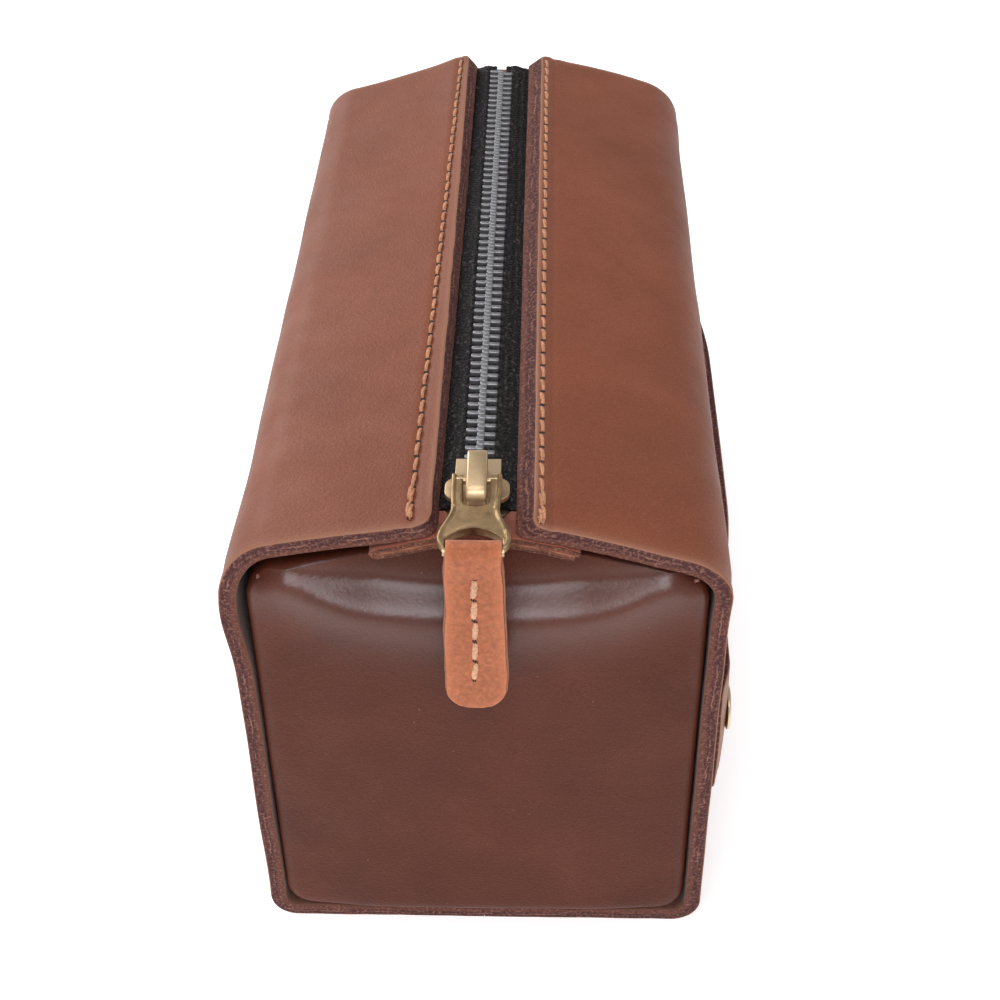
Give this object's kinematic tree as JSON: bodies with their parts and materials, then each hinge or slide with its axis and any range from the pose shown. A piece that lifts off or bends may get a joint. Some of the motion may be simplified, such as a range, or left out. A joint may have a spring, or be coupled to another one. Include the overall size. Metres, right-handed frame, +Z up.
{
  "type": "shaving kit bag",
  "caption": "Box-shaped leather wash bag with a metal zip along its peaked top, two inset end panels and a riveted carrying strap on one side.",
  "frame": {"origin": "centre of the base, on the face the bag stands on", "axes": "+Z up, +Y along the zip towards the rear end, +X towards the side with the carrying strap"},
  "size_m": [0.1118, 0.2263, 0.1314],
  "materials": {
    "wrap_leather": "matt waxed pull-up leather",
    "panel_leather": "dark waxed leather with a soft sheen",
    "trim_leather": "tan leather with fuzzy cut edges",
    "handle_leather": "matt waxed leather",
    "zip_tape": "black herringbone tape",
    "zip_teeth": "oxidised nickel",
    "antique_brass": "antique brass, worn bright on the edges",
    "rivet_brass": "satin brass",
    "thread": "waxed thread"
  },
  "bodies": {
    "bag": {"wrap_base": "wrap_leather", "front_end_panel": "panel_leather", "rear_end_panel": "panel_leather", "front_zip_tab": "trim_leather", "rear_zip_tab": "trim_leather", "seam_stitches_base": "thread", "corner_tacks": "thread"},
    "left_side": {"wrap_left": "wrap_leather", "zip_tape_left": "zip_tape", "zip_teeth_left": "zip_teeth", "zip_stitches_left": "thread", "seam_stitches_left": "thread"},
    "right_side": {"wrap_right": "wrap_leather", "zip_tape_right": "zip_tape", "zip_teeth_right": "zip_teeth", "zip_stitches_right": "thread", "seam_stitches_right": "thread", "handle_strap": "handle_leather", "handle_rivet_caps": "rivet_brass", "handle_rivet_posts": "rivet_brass", "handle_rivet_washers": "rivet_brass"},
    "slider": {"slider_body": "antique_brass", "slider_crown": "antique_brass", "lock_spring": "zip_teeth"},
    "metal_pull": {"pull_tab": "antique_brass"},
    "leather_pull": {"pull_strap": "trim_leather", "pull_strap_stitches": "thread"}
  },
  "joints": [
    {"name": "slider_travel", "type": "slide", "parent": "bag", "child": "slider", "axis": [0, 1, 0], "range_m": [0, 0.183], "deforming": ["zip_tape_left", "zip_tape_right", "zip_teeth_left", "zip_teeth_right", "pull_strap", "pull_strap_stitches"]},
    {"name": "mouth_left", "type": "hinge", "parent": "bag", "child": "left_side", "pos_m": [-0.052, 0, 0.03], "axis": [0, 1, 0], "range_deg": [-18, 0]},
    {"name": "mouth_right", "type": "hinge", "parent": "bag", "child": "right_side", "pos_m": [0.052, 0, 0.03], "axis": [0, 1, 0], "range_deg": [0, 18]},
    {"name": "metal_pull_swing", "type": "hinge", "parent": "slider", "child": "metal_pull", "pos_m": [0, -0.095, 0.12707], "axis": [1, 0, 0], "range_deg": [-165, 0]},
    {"name": "leather_pull_swing", "type": "hinge", "parent": "metal_pull", "child": "leather_pull", "pos_m": [0, -0.11577, 0.12599], "axis": [1, 0, 0], "range_deg": [-100, 0]}
  ],
  "couplings": [
    {"joint": "mouth_left", "follows": "slider_travel", "rad_per_m": -1.71},
    {"joint": "mouth_right", "follows": "slider_travel", "rad_per_m": 1.71}
  ]
}
